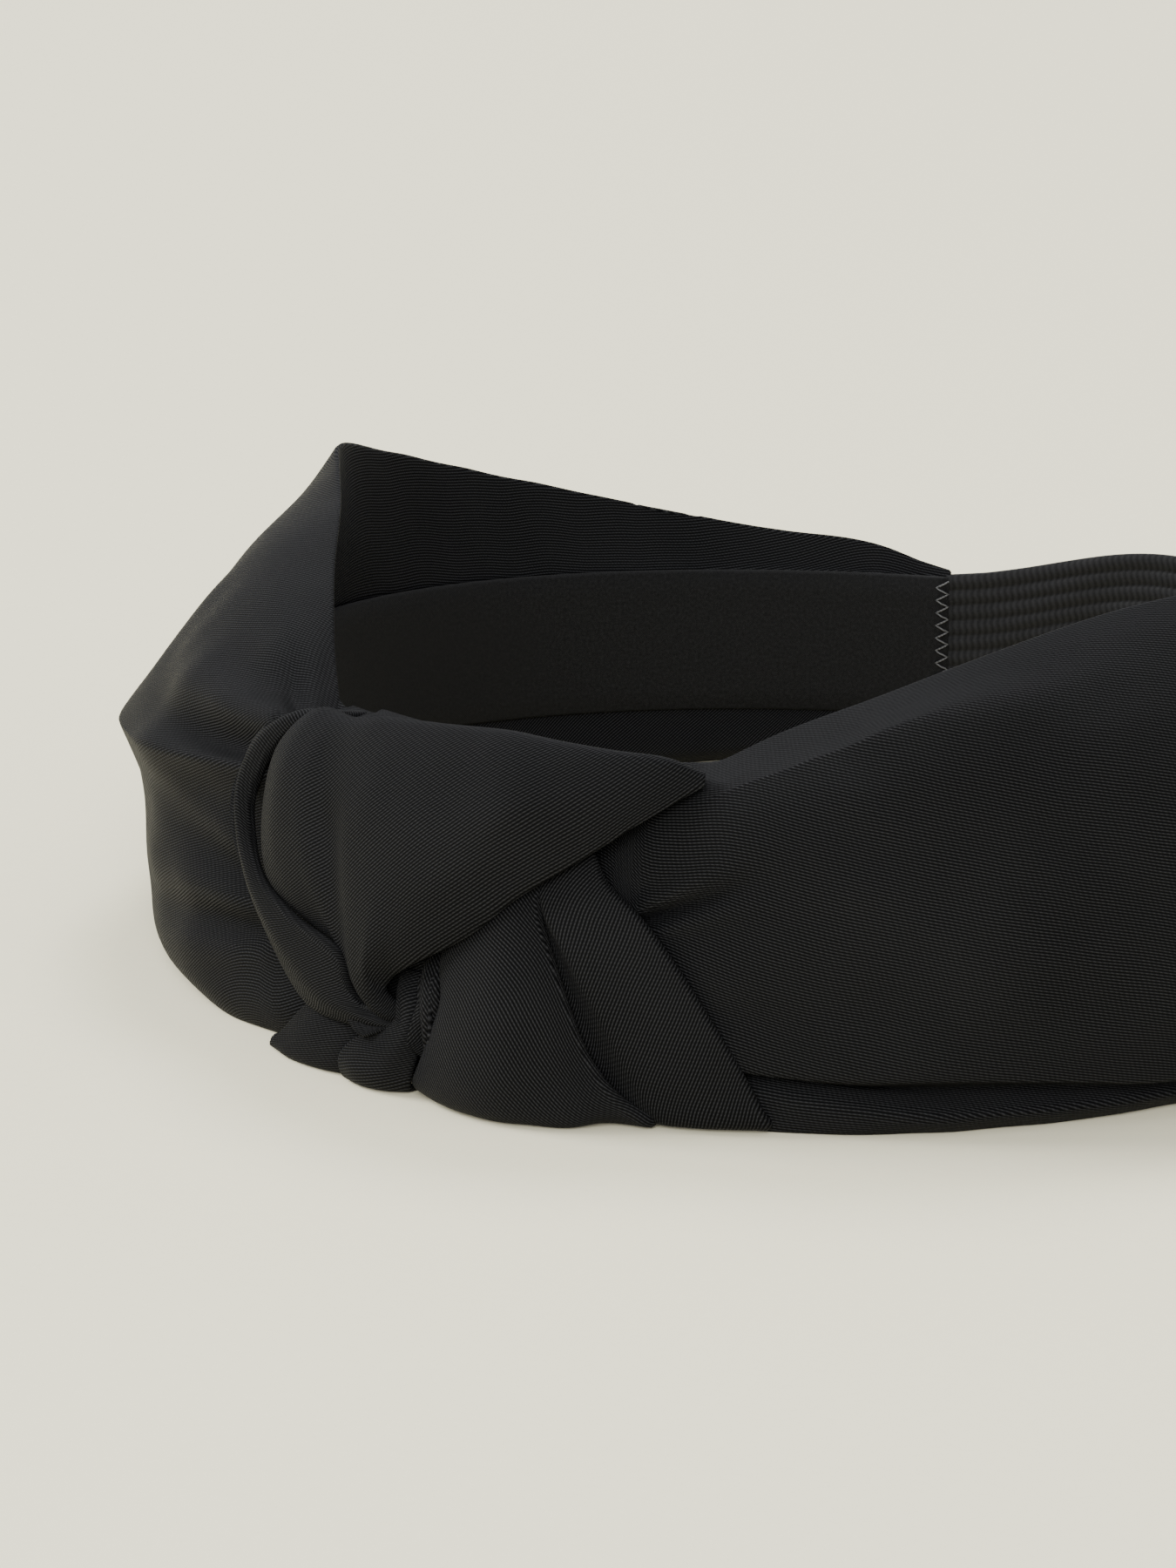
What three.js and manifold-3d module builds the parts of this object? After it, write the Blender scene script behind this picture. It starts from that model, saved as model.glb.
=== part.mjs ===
// A knotted fabric headband, standing on its lower edge with the knot at the front (-Y).
// Every piece is placed by an angle round the band, an offset out from the lining and a height:
// the angle runs from the knot towards +X, and the lining's inner face has offset 0.
import * as THREE from 'three';
import { mergeVertices } from 'three/addons/utils/BufferGeometryUtils.js';
import Module from 'manifold-3d';

const wasm = await Module();
wasm.setup();

// Driving dimensions, in millimetres and degrees.
const bandHalfWidth = 66; // inside, from the middle to each side
const bandHalfLength = 68; // inside, from the middle to the knot and to the elastic
const hoopHeightFront = 25; // the hoop's centre line above the table, at the knot
const hoopHeightRear = 13.5; // and at the middle of the elastic
const clearance = 0.3; // between pieces that touch

const liningWidth = 17.2;
const liningThickness = 0.8;
const padWidth = 15;
const padThickness = 1.5;
const hoopWidth = 14;
const hoopThickness = 1.5;
const interliningThickness = 0.7;
const coverThickness = 1;

const elasticSpan = 49; // the angle of elastic left bare at the back
const elasticThickness = 1.5;
const elasticTuck = 3.5; // the angle that each end runs in under the cover

const crownRight = 20.5; // how far each cover's upper edge rises above the lining at its crown
const crownLeft = 17.5;
const crownAngle = 66; // where the upper edge is highest
const crownLean = 5; // how far the upper edge leans in there
const riseAtKnot = 1.5; // how far it rises there above the seam, under the knot
const crownCurve = 1.6; // how late the upper edge climbs from the knot to its crown
const bellyOffset = 16; // how far the covers stand out
const bellyShare = 0.52; // height of the belly, as a share of the upper edge's height
const footOffset = 12.5; // where the covers rest on the table
const footSpread = 2.3; // how far the cover stands out beyond its foot, just above the table
const footTurn = 5; // height at which it turns in to the foot
const soleWidth = 3; // width of the foot
const soleSink = 0.3; // lets the rounded foot come down flat on the table
const soleRise = 2; // how far the foot lifts off the table at the elastic
const soleLevelAngle = 110; // up to where it rests on the table
const edgeRound = 1.5; // radius of the upper edge
const shoulderDrop = 6; // from the upper edge to the outer shoulder
const shoulderInset = 5; // and from the belly in to it
const leanStart = 20; // where the upper edge starts to lean in
const leanBuild = 10; // it leans in fully this many degrees before the crown
const leanFade = 20; // and not at all this many after it

const interliningStart = 44; // clear of the gathers beside the knot
const interliningShort = 16; // how far it stops short of the hoop's end

const knotWidth = 67;
const knotRise = 6.4; // how far the knot stands above the lining
const knotFootOffset = 21; // how far the knot stands out at the table
const knotTopOffset = 14; // and at its upper edge
const knotSideOffset = 11; // and at its two ends
const knotWrapOffset = 1; // how far in it reaches above and below the lining
const knotFlexGap = 4; // room for the right half to swing as the band is opened
const foldGap = 0.4; // between neighbouring folds of the knot

const threadThickness = 0.5;
const stitchSpread = 1.6; // width of the zigzag across a seam
const anchorAngle = -5; // where the knot is tacked to the band, clear of its middle
const anchorLength = 4;

// Worked out from the sizes above: each layer starts where the one inside it ends.
const padOffset = liningThickness + clearance;
const hoopOffset = padOffset + padThickness + clearance;
const knotBackOffset = hoopOffset + hoopThickness + clearance;
const elasticOffset = liningThickness + clearance;
const coverEndAngle = 180 - elasticSpan / 2;
const coverSeamHeight = liningWidth / 2 + clearance + coverThickness;
const hoopEndAngle = coverEndAngle - elasticTuck - 2;
const knotHalfWidth = knotWidth / 2;
const knotHeight = hoopHeightFront + liningWidth / 2 + knotRise;

const coverSteps = 18; // facets across a cover
const coverRounds = 34; // and round it
const interliningFacets = [6, 12]; // the facets of the cover between which the stiffener lies
const interliningRounds = 24;
const hoopRounds = 61; // facets round each strip
const liningRounds = 71;
const elasticRounds = 16;

const radians = THREE.MathUtils.degToRad;
const { lerp, smoothstep } = THREE.MathUtils;

/** The point at an angle round the band, an offset outwards and a height. */
function place(angle, offset, height) {
  const a = radians(angle);
  return new THREE.Vector3(
    (bandHalfWidth + offset) * Math.sin(a),
    -(bandHalfLength + offset) * Math.cos(a),
    height,
  );
}

/** Height of the hoop's centre line: the band leans, so it is highest at the knot. */
function hoopHeight(angle) {
  return lerp(hoopHeightRear, hoopHeightFront, (1 + Math.cos(radians(angle))) / 2);
}

/**
 * A closed solid between two surfaces. surface(u, v, layer) gives a point for u and v from 0 to 1
 * on layer 0 or 1, and the four edges between the layers are closed.
 */
function layeredSolid(surface, uSteps, vSteps) {
  const positions = [];
  const index = [];
  const row = vSteps + 1;
  const layerSize = (uSteps + 1) * row;
  for (const layer of [0, 1]) {
    for (let i = 0; i <= uSteps; i++) {
      for (let j = 0; j <= vSteps; j++) {
        positions.push(...surface(i / uSteps, j / vSteps, layer).toArray());
      }
    }
  }
  const at = (i, j, layer) => layer * layerSize + i * row + j;
  const quad = (a, b, c, d) => index.push(a, b, c, a, c, d);
  for (let i = 0; i < uSteps; i++) {
    for (let j = 0; j < vSteps; j++) {
      quad(at(i, j, 0), at(i, j + 1, 0), at(i + 1, j + 1, 0), at(i + 1, j, 0));
      quad(at(i, j, 1), at(i + 1, j, 1), at(i + 1, j + 1, 1), at(i, j + 1, 1));
    }
  }
  for (let i = 0; i < uSteps; i++) {
    quad(at(i, 0, 0), at(i + 1, 0, 0), at(i + 1, 0, 1), at(i, 0, 1));
    quad(at(i, vSteps, 0), at(i, vSteps, 1), at(i + 1, vSteps, 1), at(i + 1, vSteps, 0));
  }
  for (let j = 0; j < vSteps; j++) {
    quad(at(0, j, 0), at(0, j, 1), at(0, j + 1, 1), at(0, j + 1, 0));
    quad(at(uSteps, j, 0), at(uSteps, j + 1, 0), at(uSteps, j + 1, 1), at(uSteps, j, 1));
  }
  const geometry = new THREE.BufferGeometry();
  geometry.setAttribute('position', new THREE.Float32BufferAttribute(positions, 3));
  geometry.setIndex(index);
  return faceOutwards(geometry);
}

/** Turns every triangle over if the solid came out inside out. */
function faceOutwards(geometry) {
  const position = geometry.attributes.position;
  const index = geometry.index.array;
  const corner = [0, 1, 2].map(() => new THREE.Vector3());
  let volume = 0;
  for (let i = 0; i < index.length; i += 3) {
    corner.forEach((point, k) => point.fromBufferAttribute(position, index[i + k]));
    volume += corner[0].dot(corner[1].clone().cross(corner[2]));
  }
  if (volume < 0) {
    for (let i = 0; i < index.length; i += 3) {
      [index[i], index[i + 1]] = [index[i + 1], index[i]];
    }
  }
  return geometry;
}

/** A flat strip on edge that follows the hoop between two angles. */
function hoopStrip({ from, to, width, offset, thickness, steps }) {
  return layeredSolid((u, v, layer) => {
    const angle = lerp(from, to, u);
    const height = hoopHeight(angle) + (v - 0.5) * width;
    return place(angle, offset + layer * thickness, height);
  }, steps, 1);
}

/** A line through [angle, value] pairs, eased between them. */
function alongBand(pairs, angle) {
  const next = pairs.findIndex(([a]) => a >= angle);
  if (next === 0) return pairs[0][1];
  if (next < 0) return pairs.at(-1)[1];
  const [a0, v0] = pairs[next - 1];
  const [a1, v1] = pairs[next];
  return lerp(v0, v1, smoothstep(angle, a0, a1));
}

/**
 * The cover's cross-section as a curve of (offset, height) points: from the lining's upper seam,
 * up to the upper edge, down the outside, round the foot and in to the lower seam.
 */
function coverSection(angle, crown) {
  const middle = hoopHeight(angle);
  const full = 1 - smoothstep(angle, crownAngle, coverEndAngle);
  const knotTop = hoopHeightFront + coverSeamHeight + riseAtKnot;
  const crownTop = hoopHeight(crownAngle) + liningWidth / 2 + crown;
  const rearTop = hoopHeight(coverEndAngle) + coverSeamHeight + 2 * coverThickness;
  const climb = Math.sin(radians(90 * angle / crownAngle)) ** crownCurve;
  const descent = Math.sin(radians(90 * (angle - crownAngle) / (coverEndAngle - crownAngle)));
  const top = angle < crownAngle ? lerp(knotTop, crownTop, climb) : lerp(crownTop, rearTop, descent);
  const lean = alongBand([
    [leanStart, -edgeRound], [crownAngle - leanBuild, crownLean], [crownAngle + leanFade, -edgeRound],
  ], angle);
  const seam = clearance;
  const slim = knotBackOffset + interliningThickness + clearance + 1.5 * coverThickness;
  const belly = lerp(slim, bellyOffset, full);
  const foot = lerp(slim, footOffset, full);
  const sole = alongBand([[soleLevelAngle, 0], [coverEndAngle, soleRise]], angle);
  const keys = [
    [seam, middle + coverSeamHeight],
    [Math.max(-lean, seam - crownLean), top - edgeRound],
    [edgeRound - lean, top],
    [lerp(slim - lean - 1, belly - shoulderInset, full), top - lerp(edgeRound, shoulderDrop, full)],
    [belly, lerp(middle, top * bellyShare, full)],
    [lerp(belly, foot + footSpread, full), sole + footTurn],
    [foot - 1, sole - soleSink],
    [foot - 1 - soleWidth, sole - soleSink],
    [seam, middle - coverSeamHeight],
  ];
  return new THREE.SplineCurve(keys.map(([offset, height]) => new THREE.Vector2(offset, height)));
}

/** A point on a cover's section, moved in from its outer skin by depth. */
function insideSection(curve, v, depth) {
  const point = curve.getPoint(v);
  const along = curve.getTangent(v);
  point.x += along.y * depth;
  point.y -= along.x * depth;
  point.y = Math.max(point.y, depth);
  return point;
}

/** The fabric tube of one half, open to the inside where the lining closes it. */
function coverShell(side, crown, startAngle) {
  return layeredSolid((u, v, layer) => {
    const angle = lerp(startAngle, coverEndAngle, u);
    const { x, y } = insideSection(coverSection(angle, crown), v, layer * coverThickness);
    return place(side * angle, x, y);
  }, coverRounds, coverSteps);
}

/** The stiffener that holds the cover's outer face in shape. */
function interlining(side, crown) {
  const inset = coverThickness + 2 * clearance;
  const [first, last] = interliningFacets;
  return layeredSolid((u, v, layer) => {
    const angle = lerp(interliningStart, hoopEndAngle - interliningShort, u);
    const depth = inset + layer * interliningThickness;
    const { x, y } = insideSection(coverSection(angle, crown), lerp(first, last, v) / coverSteps, depth);
    return place(side * angle, x, y);
  }, interliningRounds, last - first);
}

// The knot's folds, seen from the front: x from -1 to 1 across its width, y from 0 to 1 up it.
// Neighbouring folds share their corners.
const pit = [-0.24, 0.31]; // where the pleats run together
const upperLeft = [-0.48, 0.93];
const leftCrease = [[-0.6, 0.8], [-0.57, 0.64], [-0.46, 0.4]];
const wrapTop = [0.24, 0.55];
const wrapNeck = [0.46, 0.67];
const rightCorner = [0.76, 0.92];
const pleatLine = [[-0.95, 0.76], [-0.96, 0.64], [-0.82, 0.46], [-0.61, 0.28], [-0.4, 0.23]];
const tuckLine = [[-0.94, 0.44], [-0.72, 0.2], [-0.44, 0.13], [-0.22, 0.17]];
const wrapInner = [[0.34, 0.43], [0.47, 0.3]];
const wrapOuter = [[0.61, 0.49], [0.73, 0.38], [0.8, 0.27]];
const wrapFoot = [[0.64, 0], [0.95, 0]];
const tuckFoot = [[-0.76, 0], [-0.12, 0]];

const knotFolds = {
  knot_upper_fold: [
    upperLeft, [0.05, 1], [0.33, 0.98], rightCorner, wrapNeck, wrapTop, pit, ...leftCrease.toReversed(),
  ],
  knot_left_fold: [upperLeft, ...leftCrease, pit, ...pleatLine.toReversed(), [-0.72, 0.9]],
  knot_side_pleat: [
    pleatLine[0], ...pleatLine.slice(1), pit, ...tuckLine.toReversed(), [-1, 0.62], [-1, 0.74],
  ],
  knot_base_tuck: [...tuckLine.slice(1), tuckFoot[1], tuckFoot[0]],
  knot_lower_fold: [pit, wrapTop, ...wrapInner, wrapFoot[0], tuckFoot[1], tuckLine[3]],
  knot_wrap_band: [wrapTop, wrapNeck, ...wrapOuter, wrapFoot[1], wrapFoot[0], ...wrapInner.toReversed()],
};

/** A fold's corners at their real size, with every side drawn in by a distance. */
function drawnIn(outline, distance) {
  const sharpest = 0.35; // keeps a pointed corner from being drawn in too far
  const corners = outline.map(([x, y]) => new THREE.Vector2(x * knotHalfWidth, y * knotHeight));
  const turn = THREE.ShapeUtils.isClockWise(corners) ? -1 : 1;
  const count = corners.length;
  const inward = (from, to) => {
    const side = to.clone().sub(from).normalize();
    return new THREE.Vector2(-side.y, side.x).multiplyScalar(turn);
  };
  return corners.map((corner, i) => {
    const before = inward(corners[(i + count - 1) % count], corner);
    const after = inward(corner, corners[(i + 1) % count]);
    const bisector = before.clone().add(after).normalize();
    const reach = distance / Math.max(bisector.dot(before), sharpest);
    const moved = corner.clone().addScaledVector(bisector, reach);
    if (corner.y === 0) moved.y = 0;
    return moved;
  });
}

/** A bar of the given front outline, running from front to back through the knot. */
function frontBar(corners) {
  const rear = bandHalfLength / 3;
  const length = bandHalfLength + knotFootOffset;
  const bar = new THREE.ExtrudeGeometry(new THREE.Shape(corners), {
    depth: length,
    bevelEnabled: false,
  });
  bar.rotateX(Math.PI / 2); // the outline's y now points up and the bar runs towards -Y
  bar.translate(0, -rear, 0);
  return toManifold(bar);
}

function toManifold(geometry) {
  const plain = geometry.clone();
  for (const name of ['normal', 'uv']) plain.deleteAttribute(name);
  const merged = mergeVertices(plain);
  return new wasm.Manifold(new wasm.Mesh({
    numProp: 3,
    vertProperties: merged.attributes.position.array,
    triVerts: new Uint32Array(merged.index.array),
  }));
}

function fromManifold(solid) {
  const mesh = solid.getMesh();
  const geometry = new THREE.BufferGeometry();
  geometry.setAttribute('position', new THREE.BufferAttribute(mesh.vertProperties, 3));
  geometry.setIndex(new THREE.BufferAttribute(mesh.triVerts, 1));
  return geometry;
}

/** The whole knot as one rounded block that wraps the front of the band, before its folds are parted. */
function knotBlock() {
  const halfAngle = THREE.MathUtils.radToDeg(Math.asin((knotHalfWidth + 1) / bandHalfWidth));
  const step = 0.1; // height over which the back steps round the lining's edges
  const rows = 12;
  const lowerRow = 3; // the rows at which the back steps out round the band, and in again
  const upperRow = 9;
  const columns = 22;
  const crestCurve = 1.6; // how the front draws back towards its upper edge
  const endCurve = 2.4; // and towards its two ends
  return layeredSolid((u, v, layer) => {
    const across = 2 * u - 1;
    const angle = across * halfAngle;
    const row = Math.round(v * rows);
    const lower = hoopHeight(angle) - liningWidth / 2 - clearance;
    const upper = hoopHeight(angle) + liningWidth / 2 + clearance;
    const top = knotHeight + 1;
    let height = lerp(lower, upper, (row - lowerRow - 1) / (upperRow - lowerRow - 2));
    if (row <= lowerRow) height = (lower - step) * row / lowerRow;
    if (row >= upperRow) height = lerp(upper + step, top, (row - upperRow) / (rows - upperRow));
    const crest = lerp(knotFootOffset, knotTopOffset, (height / top) ** crestCurve);
    const front = lerp(knotSideOffset, crest, 1 - Math.abs(across) ** endCurve);
    const back = row > lowerRow && row < upperRow ? knotBackOffset : knotWrapOffset;
    return place(angle, layer ? front : back, height);
  }, columns, rows);
}

const block = toManifold(knotBlock());

function knotFold(outline) {
  return fromManifold(block.intersect(frontBar(drawnIn(outline, foldGap / 2))));
}

/** A cover with its front end cut back to the knot's edge, leaving a gap. */
function coverBesideKnot(side, crown) {
  const edge = side > 0
    ? [wrapFoot[1], ...wrapOuter.toReversed(), wrapNeck, rightCorner]
    : [tuckFoot[0], tuckLine[1], tuckLine[0], [-1, 0.62], [-1, 0.74], pleatLine[0], [-0.72, 0.9]];
  const gap = side > 0 ? knotFlexGap : clearance + foldGap / 2;
  const line = edge.map(([x, y]) => new THREE.Vector2(x * knotHalfWidth + side * gap, y * knotHeight));
  const low = -knotHeight;
  const high = 3 * knotHeight;
  const corners = [
    new THREE.Vector2(-side * knotHalfWidth, low),
    new THREE.Vector2(line[0].x, low),
    ...line,
    new THREE.Vector2(line.at(-1).x, high),
    new THREE.Vector2(-side * knotHalfWidth, high),
  ];
  const nearest = Math.min(...line.map((point) => Math.abs(point.x)));
  const startAngle = THREE.MathUtils.radToDeg(Math.asin(nearest / (bandHalfWidth + bellyOffset))) - 1;
  const shell = toManifold(coverShell(side, crown, startAngle));
  return fromManifold(shell.subtract(frontBar(corners)));
}

/** A zigzag row of thread on the inside of the band, as one flat ribbon. */
function zigzagStitches({ angle, middle, length, turns }) {
  const width = threadThickness;
  const radius = (bandHalfWidth + bandHalfLength) / 2;
  const toAngle = (distance) => THREE.MathUtils.radToDeg(distance / radius);
  return layeredSolid((u, v, layer) => {
    const sway = (Math.abs(((u * turns) % 1) * 2 - 1) - 0.5) * stitchSpread;
    const around = angle + toAngle(sway + (v - 0.5) * width);
    return place(around, -clearance - layer * threadThickness, middle + (u - 0.5) * length);
  }, 2 * turns, 1);
}

const materials = {
  satin: { color: 0x1b1b1c, roughness: 0.55, metalness: 0 },
  lining: { color: 0x161617, roughness: 0.9, metalness: 0 },
  elastic: { color: 0x17171a, roughness: 0.7, metalness: 0 },
  stiffener: { color: 0xd9d6cc, roughness: 0.9, metalness: 0 },
  foam: { color: 0x3a3a3c, roughness: 1, metalness: 0 },
  spring: { color: 0x222226, roughness: 0.45, metalness: 0 },
  thread: { color: 0x4a4a4c, roughness: 0.8, metalness: 0 },
};

const headband = new THREE.Group();

function add(name, material, geometry) {
  const mesh = new THREE.Mesh(geometry, new THREE.MeshStandardMaterial(materials[material]));
  mesh.name = name;
  headband.add(mesh);
}

const fullTurn = { from: -coverEndAngle, to: coverEndAngle };
add('lining_strip', 'lining', hoopStrip({
  ...fullTurn, width: liningWidth, offset: 0, thickness: liningThickness, steps: liningRounds,
}));
const hoopTurn = { from: -hoopEndAngle, to: hoopEndAngle, steps: hoopRounds };
add('comfort_pad', 'foam', hoopStrip({
  ...hoopTurn, width: padWidth, offset: padOffset, thickness: padThickness,
}));
add('hoop_core', 'spring', hoopStrip({
  ...hoopTurn, width: hoopWidth, offset: hoopOffset, thickness: hoopThickness,
}));
add('elastic_strap', 'elastic', hoopStrip({
  from: coverEndAngle - elasticTuck,
  to: 360 - coverEndAngle + elasticTuck,
  width: liningWidth,
  offset: elasticOffset,
  thickness: elasticThickness,
  steps: elasticRounds,
}));

add('interlining_left', 'stiffener', interlining(-1, crownLeft));
add('interlining_right', 'stiffener', interlining(1, crownRight));
add('cover_left', 'satin', coverBesideKnot(-1, crownLeft));
add('cover_right', 'satin', coverBesideKnot(1, crownRight));

for (const [name, outline] of Object.entries(knotFolds)) add(name, 'satin', knotFold(outline));

for (const [name, side] of [['seam_stitches_left', -1], ['seam_stitches_right', 1]]) {
  const angle = side * (coverEndAngle - 0.8);
  add(name, 'thread', zigzagStitches({
    angle, middle: hoopHeight(angle), length: liningWidth - 1, turns: 11,
  }));
}
add('knot_anchor_stitches', 'thread', zigzagStitches({
  angle: anchorAngle, middle: hoopHeightFront + liningWidth / 3, length: anchorLength, turns: 3,
}));

// The origin is on the table, under the middle of the band's box.
const box = new THREE.Box3().setFromObject(headband);
const centre = box.getCenter(new THREE.Vector3());
headband.position.set(-centre.x, -centre.y, -box.min.z);
headband.updateMatrixWorld(true);

export default headband;
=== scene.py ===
"""A knotted satin headband with a ribbed elastic back, standing on its lower edge."""
import math

import bpy
import numpy as np
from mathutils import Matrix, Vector


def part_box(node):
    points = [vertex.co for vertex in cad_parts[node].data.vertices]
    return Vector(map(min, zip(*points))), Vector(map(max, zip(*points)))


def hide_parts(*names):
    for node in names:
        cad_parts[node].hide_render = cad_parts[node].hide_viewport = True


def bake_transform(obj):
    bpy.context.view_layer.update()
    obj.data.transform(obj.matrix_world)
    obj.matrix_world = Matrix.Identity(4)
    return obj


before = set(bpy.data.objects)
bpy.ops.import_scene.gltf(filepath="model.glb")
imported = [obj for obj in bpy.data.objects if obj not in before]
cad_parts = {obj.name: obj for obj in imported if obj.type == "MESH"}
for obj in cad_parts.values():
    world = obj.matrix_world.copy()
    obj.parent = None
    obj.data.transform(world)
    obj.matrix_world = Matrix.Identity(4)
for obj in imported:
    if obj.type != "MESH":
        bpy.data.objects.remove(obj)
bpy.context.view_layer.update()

MM = 0.001

# ---------------------------------------------------------------- the band's own measures
# Every soft piece is laid out in millimetres round the band: an angle from the knot (positive
# towards +X), an offset out from the lining's inner face, and a height above the table.

LINING_THICKNESS = 0.8
LINING_WIDTH = 17.2
PAD_WIDTH = 15
PAD_THICKNESS = 1.5
HOOP_THICKNESS = 1.5
HOOP_WIDTH = 14
ELASTIC_THICKNESS = 1.5
CLOTH = 0.42  # thickness of the satin
GAP = 0.3  # between the layers of the band
LOWEST = 0.25  # the middle of the cloth stays this far above the table


def node_box(name):
    """The two corners of a CAD node's box, in millimetres."""
    return [Vector(corner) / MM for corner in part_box(name)]


lining_low, lining_high = node_box("lining_strip")
elastic_low, elastic_high = node_box("elastic_strap")
hoop_high = node_box("hoop_core")[1]

HALF_WIDTH = (lining_high.x - lining_low.x) / 2 - LINING_THICKNESS
front_y = lining_low.y + LINING_THICKNESS
rear_y = elastic_high.y - ELASTIC_THICKNESS - LINING_THICKNESS - GAP
HALF_LENGTH = (rear_y - front_y) / 2
MIDDLE_Y = (rear_y + front_y) / 2
HOOP_FRONT = hoop_high.z - HOOP_WIDTH / 2
HOOP_REAR = elastic_low.z + LINING_WIDTH / 2
ELASTIC_FROM = 155.5  # the angle at which the covers end and the elastic shows
OUTER_RADIUS = HALF_WIDTH + 14  # round the covers' outer faces, where their weave is laid out true


def place(angle, offset, height):
    """Points in metres from arrays of angle, offset and height."""
    a = np.radians(angle)
    x = (HALF_WIDTH + offset) * np.sin(a)
    y = MIDDLE_Y - (HALF_LENGTH + offset) * np.cos(a)
    return np.stack(np.broadcast_arrays(x, y, height), -1) * MM


def hoop_height(angle):
    """Height of the hoop's centre line, which is highest at the knot."""
    return HOOP_REAR + (HOOP_FRONT - HOOP_REAR) * (1 + np.cos(np.radians(angle))) / 2


def at_knot(points):
    """Angle, offset and height of (across, height, offset) points on the knot."""
    across, height, offset = np.moveaxis(np.asarray(points, float), -1, 0)
    angle = np.degrees(np.arcsin(across / (HALF_WIDTH + offset)))
    return np.stack([angle, offset, height], -1)


# ---------------------------------------------------------------- curves and surfaces


def hermite(knots, values, slopes, x):
    """The smooth curve that has the given values and slopes at its knots, at places x."""
    i = np.clip(np.searchsorted(knots, x, side="right") - 1, 0, len(knots) - 2)
    span = knots[i + 1] - knots[i]
    s = ((x - knots[i]) / span)[:, None]
    span = span[:, None]
    return (
        (1 + 2 * s) * (1 - s) ** 2 * values[i]
        + s * (1 - s) ** 2 * span * slopes[i]
        + s * s * (3 - 2 * s) * values[i + 1]
        - s * s * (1 - s) * span * slopes[i + 1]
    )


def keyed(keys, x):
    """Smooth values at x through rows of (x, value, ...)."""
    keys = np.asarray(keys, float)
    slopes = np.gradient(keys[:, 1:], keys[:, 0], axis=0)
    return hermite(keys[:, 0], keys[:, 1:], slopes, np.clip(x, keys[0, 0], keys[-1, 0]))


def along(points, steps, crest=None):
    """A smooth curve through points, at even steps. A crest is the number of a point, and the step that
    falls on it."""
    points = np.asarray(points, float)
    lengths = np.linalg.norm(np.diff(points, axis=0), axis=1)
    knots = np.concatenate([[0], np.cumsum(np.maximum(lengths, 1e-6) ** 0.7)])
    slopes = np.gradient(points, knots, axis=0)
    fine_steps = np.linspace(0, knots[-1], 400)
    fine = hermite(knots, points, slopes, fine_steps)
    reach = np.concatenate([[0], np.cumsum(np.linalg.norm(np.diff(fine, axis=0), axis=1))])
    wanted = np.linspace(0, reach[-1], steps)
    if crest:
        point, step = crest
        top = np.interp(knots[point], fine_steps, reach)
        before = np.linspace(0, top, step + 1)[:-1]
        wanted = np.concatenate([before, np.linspace(top, reach[-1], steps - step)])
    return np.stack([np.interp(wanted, reach, fine[:, k]) for k in range(points.shape[1])], -1)


def across_rails(rails, sharp, counts):
    """A surface across rails, which is an array of (rail, step, 3). sharp, from 0 to 1, is how hard the
    surface turns at each rail or at each step of it, and counts the steps between each pair of rails."""
    rails = np.asarray(rails, float)
    gaps = np.linalg.norm(np.diff(rails, axis=0), axis=2).mean(1)
    knots = np.concatenate([[0], np.cumsum(np.maximum(gaps, 0.2))])
    softness = np.array([np.broadcast_to(1 - np.asarray(one), rails.shape[1]) for one in sharp])
    slopes = np.gradient(rails, knots, axis=0) * softness[..., None]
    stops = [np.linspace(a, b, n, endpoint=False) for a, b, n in zip(knots, knots[1:], counts)]
    stops = np.concatenate([*stops, knots[-1:]])
    flat = rails.reshape(len(rails), -1)
    out = hermite(knots, flat, slopes.reshape(len(rails), -1), stops)
    return out.reshape(len(stops), rails.shape[1], 3)


def normals(grid):
    """Unit normals of a grid of points."""
    du = np.gradient(grid, axis=0)
    dv = np.gradient(grid, axis=1)
    n = np.cross(du, dv)
    return n / np.maximum(np.linalg.norm(n, axis=2, keepdims=True), 1e-12)


def smooth_noise(x, y, seed, cell):
    """Soft random swells, from -1 to 1, over millimetre coordinates."""
    total = np.zeros(np.broadcast(x, y).shape)
    draw = np.random.default_rng(seed)
    waves = 9
    for _ in range(waves):
        heading = draw.uniform(0, 2 * math.pi)
        pitch = cell * draw.uniform(0.7, 1.8)
        phase = draw.uniform(0, 2 * math.pi)
        total += np.sin((x * math.cos(heading) + y * math.sin(heading)) * 2 * math.pi / pitch + phase)
    return total / waves ** 0.5 / 1.5


def rolled_edge(grid, side, radius, tuck):
    """Turns an edge of a surface under, as folded cloth turns: round a radius, then back beneath. The
    turn keeps within the edge, and fades out towards the edge's ends."""
    turned = {"left": grid, "right": grid[::-1], "lower": grid.swapaxes(0, 1)[::-1]}[side]
    facing = normals(turned)[0]
    middle = np.array([0, MIDDLE_Y * MM, 0])
    if (facing * (turned[0] - middle)).sum() < 0:
        facing = -facing
    out = turned[0] - turned[2]
    out /= np.maximum(np.linalg.norm(out, axis=1, keepdims=True), 1e-9)
    reach = np.concatenate([[0], np.cumsum(np.linalg.norm(np.diff(turned[0], axis=0), axis=1))])
    from_end = np.minimum(reach, reach[-1] - reach)
    size = np.clip(from_end / (7 * radius), 0.12, 1)[:, None]
    bend = [
        turned[0] + radius * size * (out * (math.sin(turn) - 1) - facing * (1 - math.cos(turn)))
        for turn in np.radians([20, 50, 80, 110, 140, 170])
    ]
    under = [bend[-1] - out * tuck * size * share for share in (0.4, 1)]
    spacing = np.linalg.norm(turned[1] - turned[0], axis=1).mean()
    skip = max(1, round(radius / spacing))
    grown = np.concatenate([np.array([*bend, *under])[::-1], turned[skip:]])
    return {"left": grown, "right": grown[::-1], "lower": grown[::-1].swapaxes(0, 1)}[side]


# ---------------------------------------------------------------- meshes


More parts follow.
